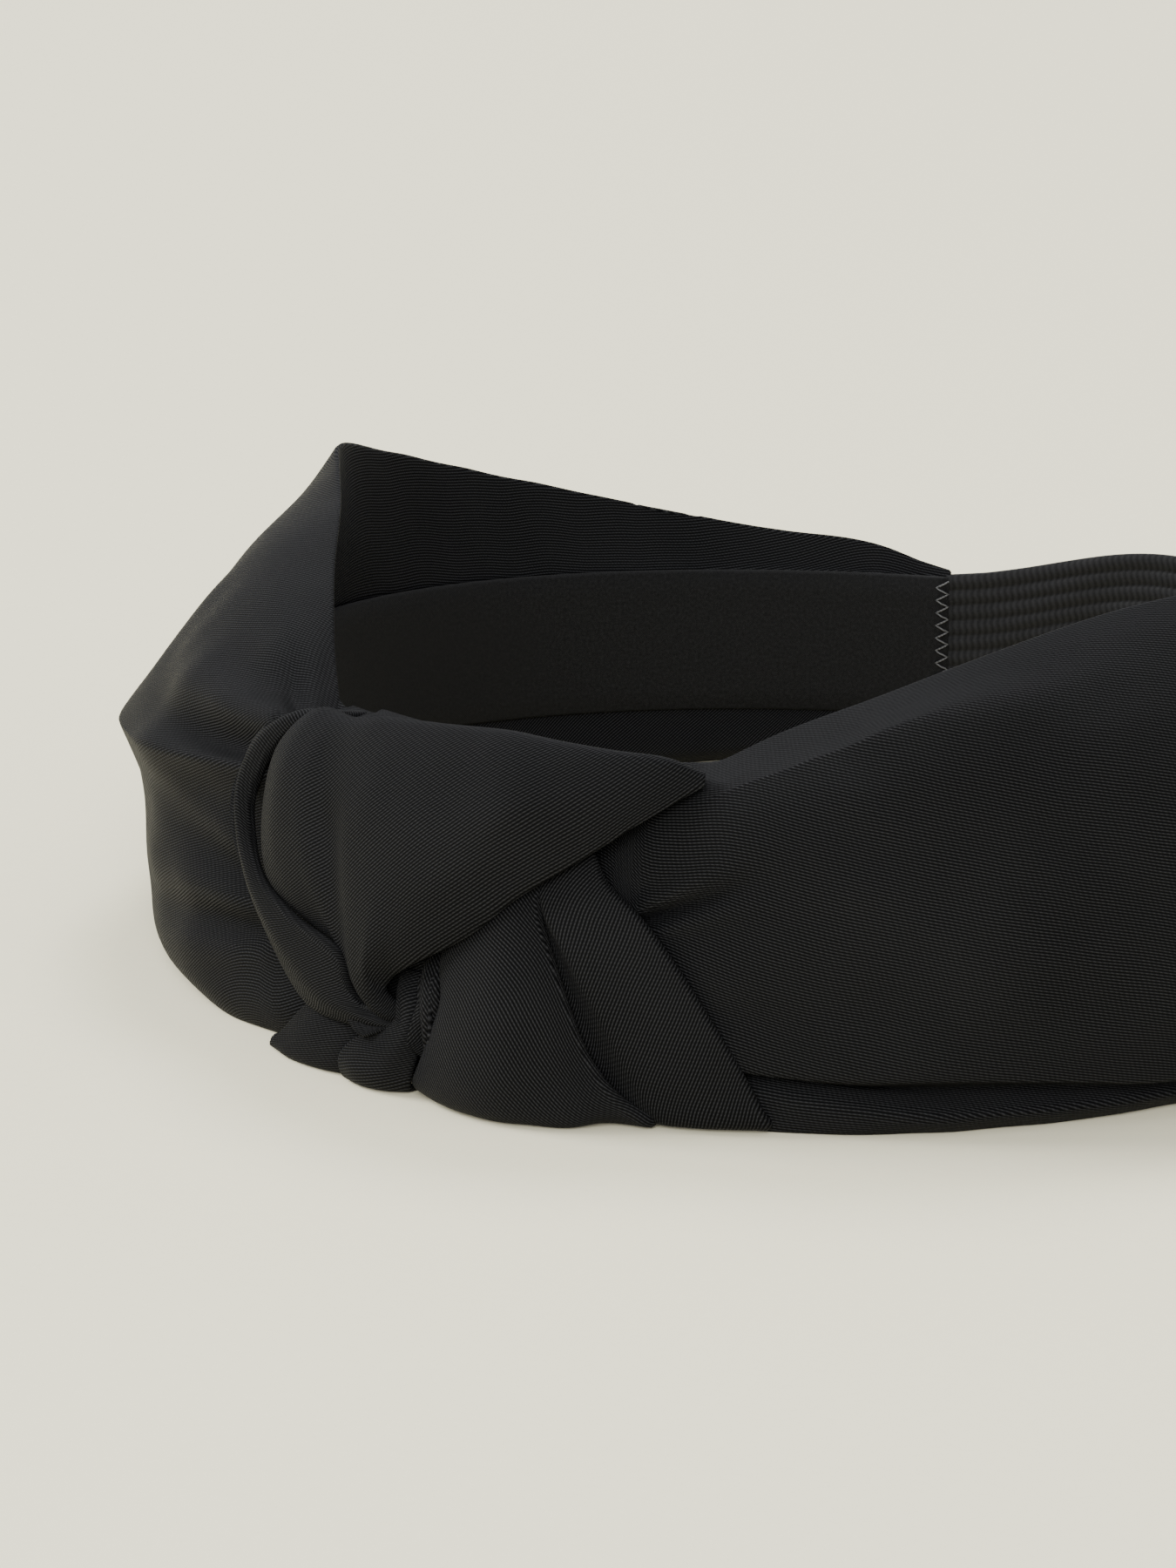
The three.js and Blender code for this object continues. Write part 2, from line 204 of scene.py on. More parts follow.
def distances(grid, axis):
    """Distance in millimetres along a grid's axis, from its first row."""
    steps = np.linalg.norm(np.diff(grid, axis=axis), axis=2) / MM
    start = np.zeros_like(steps.take([0], axis))
    return np.concatenate([start, np.cumsum(steps, axis=axis)], axis)


def weave_on_strip(grid):
    """Where the weave lies on a strip: across it, and along it."""
    across = distances(grid, 0)
    return across - across[len(across) // 2], -distances(grid, 1)


def weave_on_fall(grid, level=0):
    """Where the weave lies on cloth that hangs round the band. Along the column level, it lies at its
    true height."""
    angle = np.arctan2(grid[..., 0], MIDDLE_Y * MM - grid[..., 1])
    down = distances(grid, 1)
    here = slice(level, level + 1)
    return angle * OUTER_RADIUS, grid[:, here, 2] / MM + down[:, here] - down


def woven_object(name, points, faces, weave, material):
    """An object whose weave, in millimetres for each of its points, is on the map Weave."""
    mesh = bpy.data.meshes.new(name)
    mesh.from_pydata(points.reshape(-1, 3).tolist(), [], faces)
    layer = mesh.uv_layers.new(name="Weave")
    corners = np.empty(len(mesh.loops), np.int32)
    mesh.loops.foreach_get("vertex_index", corners)
    layer.data.foreach_set("uv", weave.reshape(-1, 2)[corners].astype(np.float32).ravel())
    mesh.materials.append(material)
    piece = bpy.data.objects.new(name, mesh)
    bpy.context.scene.collection.objects.link(piece)
    return piece


def cloth_piece(name, grid, material, weave, thickness=CLOTH, weave_turn=0.0):
    """A piece of cloth of even thickness on a grid of points, with its weave turned by some degrees."""
    rows, columns = grid.shape[:2]
    u, v = weave
    turn = math.radians(weave_turn)
    turned = np.stack([u * math.cos(turn) + v * math.sin(turn), v * math.cos(turn) - u * math.sin(turn)], -1)
    index = np.arange(rows * columns).reshape(rows, columns)
    faces = np.stack([index[:-1, :-1], index[1:, :-1], index[1:, 1:], index[:-1, 1:]], -1)
    piece = woven_object(name, grid, faces.reshape(-1, 4).tolist(), turned, material)
    solid = piece.modifiers.new("cloth", "SOLIDIFY")
    solid.thickness = thickness * MM
    solid.offset = 0
    solid.use_even_offset = False
    apply_modifiers(piece)
    for polygon in piece.data.polygons:
        polygon.use_smooth = True
    return piece


def apply_modifiers(piece):
    """Makes a piece's modifiers part of its mesh."""
    bpy.context.view_layer.update()
    graph = bpy.context.evaluated_depsgraph_get()
    finished = bpy.data.meshes.new_from_object(piece.evaluated_get(graph))
    piece.modifiers.clear()
    old = piece.data
    piece.data = finished
    bpy.data.meshes.remove(old)


# ---------------------------------------------------------------- shader maths


class Value:
    """A shader socket that can be used in sums."""

    def __init__(self, shader, socket):
        self.shader = shader
        self.socket = socket

    def _maths(self, operation, *inputs):
        return self.shader.node("ShaderNodeMath", {"operation": operation}, dict(enumerate(inputs)))

    def __add__(self, other):
        return self._maths("ADD", self, other)

    __radd__ = __add__

    def __sub__(self, other):
        return self._maths("SUBTRACT", self, other)

    def __rsub__(self, other):
        return self._maths("SUBTRACT", other, self)

    def __mul__(self, other):
        return self._maths("MULTIPLY", self, other)

    __rmul__ = __mul__

    def __pow__(self, other):
        return self._maths("POWER", self, other)

    def sine(self):
        return self._maths("SINE", self)

    def output(self, number):
        """Another output of the same node."""
        return Value(self.shader, self.socket.node.outputs[number])


class Shader:
    """A material made node by node."""

    def __init__(self, name):
        self.material = bpy.data.materials.new(name)
        self.material.use_nodes = True
        self.tree = self.material.node_tree
        self.tree.nodes.clear()

    def node(self, kind, settings=None, inputs=None, output=0):
        """Adds a node: its settings first, then its inputs by number or name, each a value or a link."""
        made = self.tree.nodes.new(kind)
        for name, value in (settings or {}).items():
            setattr(made, name, value)
        for socket, value in (inputs or {}).items():
            if isinstance(value, Value):
                self.tree.links.new(value.socket, made.inputs[socket])
            else:
                made.inputs[socket].default_value = value
        return Value(self, made.outputs[output]) if made.outputs else None

    def weave_place(self):
        """The place on the weave in millimetres: as a vector, and its parts along and across the ribs."""
        spot = self.node("ShaderNodeUVMap", {"uv_map": "Weave"})
        parts = self.node("ShaderNodeSeparateXYZ", None, {0: spot})
        return spot, parts, parts.output(1)

    def object_place(self):
        """The place in the object's own space, in metres."""
        return self.node("ShaderNodeTexCoord", output=3)

    def noise(self, spot, scale, detail=2.0, roughness=0.5):
        inputs = {"Vector": spot, "Scale": scale, "Detail": detail, "Roughness": roughness}
        return self.node("ShaderNodeTexNoise", None, inputs)

    def mix(self, factor, first, second):
        """A colour between two others."""
        inputs = {0: factor, 6: (*first, 1), 7: (*second, 1)}
        return self.node("ShaderNodeMix", {"data_type": "RGBA"}, inputs, output=2)

    def bump(self, height, strength, distance):
        """A normal from a height that stands up to a distance in millimetres."""
        inputs = {"Strength": strength, "Distance": distance * MM, "Height": height}
        return self.node("ShaderNodeBump", None, inputs)

    def finish(self, color, roughness, normal=None, **constants):
        """Joins up the surface, whose constants are the same all over it."""
        inputs = {name.replace("_", " "): value for name, value in constants.items()}
        inputs.update({"Base Color": color, "Roughness": roughness})
        if normal:
            inputs["Normal"] = normal
        surface = self.node("ShaderNodeBsdfPrincipled", None, inputs)
        self.node("ShaderNodeOutputMaterial", None, {"Surface": surface})
        return self.material


# ---------------------------------------------------------------- materials

TWILL_PITCH = 0.31  # from one diagonal rib of the satin twill to the next
LINING_PITCH = 0.3  # from one thread of the lining to the next but one
ELASTIC_STITCH = 0.8  # from one cross stitch of the elastic to the next


def satin_twill(name):
    """Black satin twill: fine raised ribs that catch the light, broken up by the cross threads. The rib tops
    are also painted lighter as a painted glint, over random tone from slubs and clouds.
    """
    s = Shader(name)
    spot, u, v = s.weave_place()
    wander = s.noise(spot, 0.07) * 0.7
    rib = ((v + wander) * (2 * math.pi / TWILL_PITCH)).sine() * 0.5 + 0.5
    cross = ((u + wander + v * 0.5) * (2 * math.pi / (TWILL_PITCH * 1.7))).sine() * 0.5 + 0.5
    slub = s.noise(spot, 3.5, 3.0)
    cloudy = s.noise(spot, 0.05, 2.0)
    height = rib * (cross * 0.35 + 0.65) + slub * 0.3
    # Painted glint: the colour is lighter along the rib tops, mixed with random tone from the slubs and
    # clouds.
    painted_glint_and_tone = (rib * 0.55 + cross * rib * 0.3 + slub * 0.25 + cloudy * 0.2) ** 2.2
    color = s.mix(painted_glint_and_tone, (0.001, 0.001, 0.0011), (0.0215, 0.0218, 0.023))
    roughness = 0.5 + cloudy * 0.08 - rib * 0.06 + slub * 0.06
    gloss = {"IOR": 1.09, "Sheen_Weight": 0.008, "Sheen_Roughness": 0.35}
    return s.finish(color, roughness, s.bump(height, 0.95, 0.13), **gloss)


def matte_lining(name):
    """The lining: a plain weave with no shine."""
    s = Shader(name)
    spot, u, v = s.weave_place()
    warp = (u * (2 * math.pi / LINING_PITCH)).sine()
    weft = (v * (2 * math.pi / LINING_PITCH)).sine()
    grain = s.noise(spot, 2.5, 3.0)
    height = (warp * weft) * 0.4 + grain * 0.9 + 0.5
    color = s.mix(grain**1.6, (0.001, 0.001, 0.001), (0.012, 0.012, 0.0124))
    gloss = {"IOR": 1.2, "Sheen_Weight": 0.02, "Sheen_Roughness": 0.5}
    return s.finish(color, 0.7 + grain * 0.12, s.bump(height, 0.5, 0.06), **gloss)


def elastic_webbing(name):
    """Elastic: lengthwise covered cords with short stitches across them."""
    s = Shader(name)
    spot, u, v = s.weave_place()
    knit = (u * (2 * math.pi / ELASTIC_STITCH) + (v * 3.1).sine()).sine() * 0.5 + 0.5
    grain = s.noise(spot, 4.0, 3.0)
    fuzz = s.noise(spot, 0.7, 4.0)
    color = s.mix(knit * 0.5 + grain * 0.4, (0.002, 0.002, 0.0021), (0.014, 0.014, 0.0145))
    gloss = {"IOR": 1.22, "Sheen_Weight": 0.02, "Sheen_Roughness": 0.4}
    return s.finish(color, 0.55 + fuzz * 0.2, s.bump(knit * 0.7 + grain * 0.5, 0.5, 0.12), **gloss)


def sewing_thread(name, dark, light):
    """Twisted polyester thread."""
    s = Shader(name)
    spot = s.object_place()
    bands = {"wave_type": "BANDS", "bands_direction": "DIAGONAL"}
    twist = s.node("ShaderNodeTexWave", bands, {"Vector": spot, "Scale": 900.0, "Distortion": 1.5}, output=1)
    grain = s.noise(spot, 1500.0)
    color = s.mix(twist * 0.6 + grain * 0.4, dark, light)
    return s.finish(color, 0.45 + grain * 0.2, s.bump(twist, 0.5, 0.1), Specular_IOR_Level=0.5)


def moulded_plastic(name):
    """The springy hoop: satin black plastic with fine drag lines from its mould."""
    s = Shader(name)
    spot = s.node("ShaderNodeUVMap", {"uv_map": "Weave"})
    drag = s.noise(spot, 0.9, 4.0)
    color = s.mix(drag, (0.012, 0.012, 0.013), (0.026, 0.026, 0.028))
    return s.finish(color, 0.38 + drag * 0.2, s.bump(drag, 0.15, 0.1))


def open_foam(name):
    """The comfort pad: dark foam with open cells."""
    s = Shader(name)
    spot = s.object_place()
    cells = s.node("ShaderNodeTexVoronoi", None, {"Vector": spot, "Scale": 1800.0})
    color = s.mix(cells, (0.018, 0.018, 0.02), (0.06, 0.06, 0.065))
    return s.finish(color, 0.9 + cells * 0.08, s.bump(cells, 0.7, 0.2))


def pressed_felt(name):
    """The stiffener: pale pressed fibres with no weave."""
    s = Shader(name)
    spot = s.object_place()
    fibres = s.noise(spot, 900.0, 6.0, 0.7)
    clumps = s.noise(spot, 120.0)
    color = s.mix(fibres * 0.7 + clumps * 0.3, (0.42, 0.4, 0.35), (0.68, 0.66, 0.6))
    return s.finish(color, 0.85 + clumps * 0.1, s.bump(fibres, 0.5, 0.15))


SATIN = satin_twill("satin_twill")
LINING = matte_lining("matte_lining")
ELASTIC = elastic_webbing("elastic_webbing")
THREAD = sewing_thread("sewing_thread", (0.02, 0.02, 0.021), (0.075, 0.075, 0.077))
DARK_THREAD = sewing_thread("dark_thread", (0.01, 0.01, 0.011), (0.05, 0.05, 0.052))
PLASTIC = moulded_plastic("hoop_plastic")
FOAM = open_foam("pad_foam")
FELT = pressed_felt("stiffener_felt")

# ---------------------------------------------------------------- the covers

SEAM_HEIGHT = LINING_WIDTH / 2 - 0.3  # the covers' edges run in behind the lining's edges
SEAM_OFFSET = LINING_THICKNESS + 0.25


COVER_FROM = 9  # the covers start at this angle, under the knot's folds
STIFFENER_FROM = 50
STIFFENER_TO = 136
STIFFENER_INSET = 1.7  # from the middle of the cloth to the middle of the felt
FELT_THICKNESS = 0.7


def seam_rail(side):
    """The lining's upper (+1) or lower (-1) seam, as rows of (angle, offset, height)."""
    return [(a, SEAM_OFFSET, float(hoop_height(a)) + side * SEAM_HEIGHT) for a in range(0, 181, 12)]


# Each rail is a line along the cover, as (angle, offset, height) from the knot to the elastic, after how
# hard the cloth turns there: one value from 0 to 1, or rows of (angle, value).
REAR_EDGE = [(110, 4, 37), (126, 4, 31.2), (139, 3.2, 27.4), (149, 2.4, 25.6), (152.5, 1.9, 24),
             (155.5, 1.5, 23)]
REAR_BELLY = [(110, 10.8, 19), (126, 8.5, 16.5), (139, 6.3, 14.5), (150, 5.4, 13.6), (155.5, 3, 13.4)]
REAR_LOW = [(110, 9.5, 5.5), (126, 7.6, 5), (139, 6, 4.8), (150, 4.8, 5), (155.5, 2.9, 5.6)]
REAR_FOOT = [(110, 7, 0.2), (126, 5.6, 0.4), (139, 4, 1), (150, 2.8, 2.6), (155.5, 2.1, 4)]

LEFT_RAILS = {
    "upper seam": (0, seam_rail(1)),
    "inner wall": (0, [
        (8, 1.4, 32.8), (20, 1.4, 32.2), (29, 0.6, 34), (38, -1.4, 36.2), (54, -3.4, 38.5),
        (66, -2.8, 38.2), (78, -0.8, 37.2), (90, 1.6, 35), (110, 2.4, 30), (139, 1.8, 24.2),
        (155.5, 1, 22.4),
    ]),
    "upper edge": (0.85, [
        (8, 3, 32), (20, 2.4, 31.8), (24.5, 2.2, 32.2), (27.5, 0.6, 34.6), (32, -1.4, 37.8),
        (37, -3.4, 40.6), (45, -5.6, 43.4), (54, -6.9, 45.6), (65, -6, 46.4), (75, -2.8, 47),
        (84, 1.6, 46.8), (93, 3, 43.7), *REAR_EDGE,
    ]),
    "upper face": (0.1, [
        (8, 5, 31.6), (20, 5, 32), (28, 4.4, 34.4), (33, 3, 37.6), (38, 1.6, 39.4), (54, 0.4, 42),
        (66, 1.8, 41.8), (84, 6.4, 38.5), (110, 6.4, 33.4), (126, 5.6, 29), (139, 4.6, 25.6),
        (150, 4.2, 24), (155.5, 2.6, 21.8),
    ]),
    "soft ridge": (0.35, [
        (8, 7, 31), (20, 8.4, 31.8), (29, 9, 33), (40, 9.4, 34), (54, 8.6, 34.3), (66, 9.6, 33),
        (84, 10.8, 29.8), (110, 9, 26.6), (126, 7.2, 23), (139, 5.6, 20.2), (150, 5.1, 20.2),
        (155.5, 2.9, 18.4),
    ]),
    "hollow": (0, [
        (8, 7.6, 29.2), (20, 9.4, 29.6), (29, 10.9, 29.8), (40, 12.4, 29.4), (54, 13.2, 28.4),
        (66, 13.6, 27), (84, 13, 24), (110, 9.9, 22.4), (126, 7.8, 19.6), (139, 5.9, 17.2), (150, 5.3, 17),
        (155.5, 3, 16),
    ]),
    "ridge": ([(8, 0.8), (70, 0.75), (95, 0.1), (160, 0)], [
        (8, 8, 27.4), (20, 10.6, 28), (28, 13, 27.8), (38, 15.4, 26.2), (46, 16.5, 24.8), (54, 17.1, 23.4),
        (66, 16.8, 21.8), (84, 14.6, 20), *REAR_BELLY,
    ]),
    "under ridge": (0.2, [
        (8, 7.6, 23.5), (20, 10, 24), (28, 12, 23.6), (38, 13.8, 21.8), (54, 15.2, 18.6), (66, 15.2, 17),
        (84, 13.6, 15.8), (110, 10.6, 15), (126, 8.4, 13.2), (139, 6.3, 11.8), (150, 5.2, 11.4),
        (155.5, 3, 11),
    ]),
    "lower bulge": (0, [
        (8, 7.6, 12), (20, 11, 12.6), (28, 13.4, 12), (38, 14.4, 10.6), (54, 14.3, 8.4), (66, 14, 7.6),
        (84, 12.6, 7), (110, 10.4, 8.4), (126, 8.2, 8), (139, 6.2, 7.6), (150, 5, 7.6), (155.5, 3, 7.8),
    ]),
    "lower turn": (0.1, [
        (8, 8.6, 4), (20, 12.6, 3.6), (28, 14.2, 3), (38, 14, 2.4), (54, 13, 1.8), (84, 11.4, 1.6),
        *REAR_LOW,
    ]),
    "foot": (0.3, [
        (8, 7.4, 0.4), (20, 11, 0.2), (28, 12.6, 0.1), (38, 12, 0.1), (54, 10.8, 0.1), (84, 9.4, 0.1),
        *REAR_FOOT,
    ]),
    "inner roll": (0, [
        (8, 1, 4), (28, 1.6, 3), (54, 0.4, 2.4), (84, -0.6, 2.6), (110, -0.8, 2.6), (139, -0.6, 2.4),
        (155.5, 0.8, 4.4),
    ]),
    "lower seam": (0, seam_rail(-1)),
}

RIGHT_RAILS = {
    "upper seam": (0, seam_rail(1)),
    "inner wall": (0, [
        (8, 1.2, 34.1), (20, 0.8, 35), (31, 0, 36.8), (40, -0.8, 38.4), (54, -1.8, 39.8), (66, -1.6, 39.4),
        (78, 0, 37.8), (90, 1.6, 35.2), (110, 2.4, 30), (139, 1.8, 24.2), (155.5, 1, 22.4),
    ]),
    "upper edge": (0.85, [
        (8, 3.4, 32.4), (15.6, 3, 34.2), (23, 1.8, 38.5), (31, 0.4, 42), (40, -0.9, 45.6), (54, -2, 49.6),
        (66, -2, 50.4), (76, 0.4, 49.2), (86, 2.4, 46.4), (94, 3.2, 43.2), *REAR_EDGE,
    ]),
    "top face": (0.1, [
        (8, 7.4, 30), (15.6, 8.6, 33), (23, 7.8, 37.2), (31, 5.8, 41.2), (40, 3.4, 45), (54, 2.2, 48.4),
        (66, 2.8, 47.4), (84, 5.6, 42), (110, 6, 34.6), (126, 5.4, 29.6), (139, 4.4, 25.8), (150, 4.2, 24),
        (155.5, 2.6, 21.8),
    ]),
    "ridge": ([(8, 0.85), (32, 0.75), (44, 0.3), (56, 0), (160, 0)], [
        (8, 9.4, 28.4), (15, 10.4, 31.2), (21.5, 10.6, 35.6), (29.3, 10.2, 39.8), (35, 9.4, 42.5),
        (40, 8.6, 44), (54, 6.4, 45), (66, 7, 43.2), (84, 8.8, 37.9), (110, 8, 30.8), (126, 6.8, 26.4),
        (139, 5.2, 23.2), (150, 5.1, 21.4), (155.5, 2.8, 20),
    ]),
    "under ridge": (0, [
        (8, 11, 24.8), (15, 12.2, 28), (22, 13.2, 31.6), (30, 13.4, 34.8), (40, 12.6, 37.8),
        (54, 12.2, 38.4), (66, 12.6, 36), (84, 12.2, 30), (110, 9.6, 25.4), (126, 7.6, 22),
        (139, 5.8, 19.2), (150, 5.2, 18.2), (155.5, 3, 17.4),
    ]),
    "belly": (0, [
        (8, 11.4, 18.6), (15, 12.8, 19.6), (23, 14.8, 20.6), (31, 15.9, 21.6), (40, 16.4, 22),
        (54, 16.6, 21.6), (66, 16.4, 20.8), (84, 14.6, 19.2), *REAR_BELLY,
    ]),
    "low face": (0, [
        (8, 11.6, 12), (15, 13, 11.6), (23, 15, 11.4), (31, 15.9, 11.2), (40, 16.1, 11), (54, 15.8, 10.4),
        (66, 15.4, 9.6), (84, 13.6, 9.4), (110, 10.4, 9.6), (126, 8.2, 9), (139, 6.2, 8.4), (150, 5, 8.2),
        (155.5, 3, 8.2),
    ]),
    "lip": (0.75, [
        (8, 11.6, 7.4), (15, 12.9, 7), (22, 14.4, 6.6), (28, 15, 6.5), (34, 15.2, 6.4), (42, 15.1, 5.8),
        (52, 14.6, 4.6), (62, 13.8, 4.2), (84, 12.2, 4.4), *REAR_LOW,
    ]),
    "recess": (0.3, [
        (8, 10.4, 6.6), (15, 11.4, 6.2), (22, 11.8, 5.9), (28, 11.5, 5), (34, 11.2, 4.4), (42, 11.3, 4.2),
        (52, 11.4, 3.4), (62, 11.4, 3.2), (84, 11.2, 3.4), (110, 9.2, 4.2), (126, 7.4, 3.9),
        (139, 5.6, 3.9), (155.5, 2.7, 4.9),
    ]),
    "roll": (0.1, [
        (8, 11, 5), (15, 12.6, 4.6), (22, 13.8, 4.4), (28, 14.4, 3.4), (34, 14.8, 2.7), (42, 14.2, 2.5),
        (52, 12.2, 2.2), (62, 10.8, 2), (84, 9.8, 1.8), (110, 8.8, 2), (126, 7, 2), (139, 5.2, 2.4),
        (155.5, 2.5, 4.4),
    ]),
    "foot": (0.3, [
        (8, 7.4, 0.6), (15, 11, 0.2), (22, 13, 0.1), (34, 13.2, 0.1), (42, 12, 0.1), (52, 9.6, 0.2),
        (66, 8, 0.3), (84, 7.6, 0.2), *REAR_FOOT,
    ]),
    "inner roll": (0, [
        (8, 1, 4), (28, 1.2, 3), (54, 0.2, 2.4), (84, -0.6, 2.6), (110, -0.8, 2.6), (139, -0.6, 2.4),
        (155.5, 0.8, 4.4),
    ]),
    "lower seam": (0, seam_rail(-1)),
}


def cover_surface(rails, first_angle, last_angle, steps):
    """The cover's surface in (angle, offset, height), as a grid of (round the band, across it)."""
    angles = np.linspace(first_angle, last_angle, steps)
    lines = [np.column_stack([angles, keyed(rows, angles)]) for _, rows in rails.values()]
    lengths = [np.linalg.norm(np.diff([a[:, 1:], b[:, 1:]], axis=0)[0], axis=1).max()
               for a, b in zip(lines, lines[1:])]
    spacing = 0.85
    counts = [max(3, round(length / spacing)) for length in lengths]
    creases = [keyed(sharp, angles)[:, 0] if isinstance(sharp, list) else sharp
               for sharp, _ in rails.values()]
    return across_rails(lines, creases, counts).swapaxes(0, 1)


def bell(x, width):
    """A smooth bump of height 1 at x = 0."""
    return np.exp(-((x / width) ** 2))


def facing_out(grid):
    """A grid's unit normals, turned away from the middle of the band."""
    facing = normals(grid)
    outward = (facing * (grid - np.array([0, MIDDLE_Y * MM, 0]))).sum()
    return facing if outward > 0 else -facing


def gathers(angle, offset, height, pleats):
    """How far pleats push cloth out, in millimetres. A pleat is a line of two (angle, offset, height)
    points, along which it fades, with a depth, negative for a valley, and a width."""
    to_mm = math.radians(1) * OUTER_RADIUS
    spot = np.stack([angle * to_mm, offset, height], -1)
    push = np.zeros_like(angle)
    for start, end, depth, width in pleats:
        start = np.array(start) * (to_mm, 1, 1)
        run = np.array(end) * (to_mm, 1, 1) - start
        long = np.linalg.norm(run)
        run /= long
        from_start = (spot - start) @ run
        beside = np.linalg.norm(spot - start - from_start[..., None] * run, axis=-1)
        share = np.clip(from_start / long, 0, 1)
        fade = np.where(from_start < 0, bell(from_start, 3), (1 - share**2) ** 2)
        spread = width * (0.8 + 0.7 * share)
        push += depth * fade * (bell(beside, spread) - 0.4 * bell(beside - 2.1 * spread, spread))
    return push


def outer_column(offset, height):
    """The column of a cover's grid that runs along its outer face, half way up."""
    fullest_row, half_way, outside = 60, 20, 8
    off_level = np.abs(height[fullest_row] - half_way)
    return np.argmin(np.where(offset[fullest_row] < outside, np.inf, off_level))


def cover(name, side, rails, pleats, seed, weave_turn):
    """One cover, with broad and small swells on its free faces and its pleats by the knot."""
    grid = cover_surface(rails, COVER_FROM, ELASTIC_FROM, 190)
    angle, offset, height = np.moveaxis(grid, -1, 0)
    level = outer_column(offset, height)
    round_it = np.radians(angle) * 80
    free = np.clip((offset - 1.5) / 5, 0, 1)
    swell = free * 0.35 * smooth_noise(round_it, height * 1.2, seed, 26)
    swell += free * 0.13 * smooth_noise(round_it, height * 1.4, seed + 1, 9)
    swell += gathers(angle, offset, height, pleats)
    grid = place(side * angle, offset, height)
    grid += facing_out(grid) * swell[..., None] * MM
    grid = rolled_edge(grid, "right", 0.5 * MM, 1.5 * MM)
    grid[..., 2] = np.maximum(grid[..., 2], LOWEST * MM)
    return cloth_piece(name, grid, SATIN, weave_on_fall(grid, level), weave_turn=weave_turn)


def stiffener(name, side, rails, first_rail, last_rail):
    """The pressed felt that keeps the cover's outer face full, just behind it."""
    names = list(rails)
    chosen = {k: rails[k] for k in names[names.index(first_rail) : names.index(last_rail) + 1]}
    grid = cover_surface(chosen, STIFFENER_FROM, STIFFENER_TO, 90)
    grid = place(side * grid[..., 0], grid[..., 1], grid[..., 2])
    grid -= facing_out(grid) * STIFFENER_INSET * MM
    return cloth_piece(name, grid, FELT, weave_on_fall(grid), thickness=FELT_THICKNESS)


LEFT_PLEATS = [
    ((22, 8.5, 32.6), (38, 0, 39.6), -1.0, 0.95),
    ((24, 9.5, 33), (54, 12, 31.5), 1.3, 2.4),
    ((24, 11, 30.6), (50, 14, 27.6), -1.5, 1.4),
    ((23, 12.5, 16), (44, 14.5, 19), -1.2, 1.6),
    ((23, 13, 11.5), (52, 14.4, 6.5), -1.5, 1.6),
    ((96, 13, 24), (150, 5, 16), -0.4, 2.4),
]
RIGHT_PLEATS = [
    ((13.6, 12.4, 20.8), (24.5, 14.8, 27.8), -1.8, 0.8),
    ((13, 10.6, 26.6), (27, 12.8, 32.6), -0.35, 1.1),
    ((17, 14, 12), (38, 16, 13.5), -0.3, 2.4),
    ((96, 11, 28), (150, 5, 18), -0.4, 2.4),
]

# ---------------------------------------------------------------- the knot
# Each fold is a set of lines that run from its hidden upper end to its lower one, side by side, as
# (across, height, offset) points seen from the front.

ROLL_TUCK = 2.2  # how far a fold's edge is turned under
BACK_SEAM = (34.3, 0.7)  # height and offset of the seam behind the knot's upper edge


def knot_fold(name, lines, roll=("left", "right"), radius=0.55, turn=0.0, seed=1, steps=90, spacing=0.45,
              sharp=None, crest=None):
    """A fold across lines. It has rolled edges and soft swells, and its weave is turned by some degrees."""
    lines = [along(line, steps, crest) for line in lines]
    gaps = [np.linalg.norm(b - a, axis=1).max() for a, b in zip(lines, lines[1:])]
    counts = [max(3, round(gap / spacing)) for gap in gaps]
    grid = across_rails(lines, sharp or [0] * len(lines), counts)
    across, height, offset = np.moveaxis(grid, -1, 0)
    offset = offset + 0.1 * smooth_noise(across, height, seed, 11)
    height = np.maximum(height, LOWEST)
    grid = place(*np.moveaxis(at_knot(np.stack([across, height, offset], -1)), -1, 0))
    for side in roll:
        grid = rolled_edge(grid, side, radius * MM, ROLL_TUCK * MM)
    grid[..., 2] = np.maximum(grid[..., 2], LOWEST * MM)
    weave = weave_on_fall(grid, crest[1]) if crest else weave_on_strip(grid)
    return cloth_piece(name, grid, SATIN, weave, weave_turn=turn)


def over_crest(line):
    """A line that starts at the lining's seam and comes over the knot's upper edge, fanning out."""
    top_across, top_height, top_offset = line[0]
    seam_height, seam_offset = BACK_SEAM
    seam_across = 0.92 * top_across - 0.0085 * max(top_across, 0) ** 2
    crest_offset = top_offset * 0.5
    crest_height = top_height - 0.33 * crest_offset - 0.2
    return [
        (seam_across, seam_height, seam_offset),
        (seam_across, seam_height + (crest_height - seam_height) * 0.6, 2.6),
        ((top_across + seam_across) / 2, crest_height, crest_offset),
        *line,
    ]


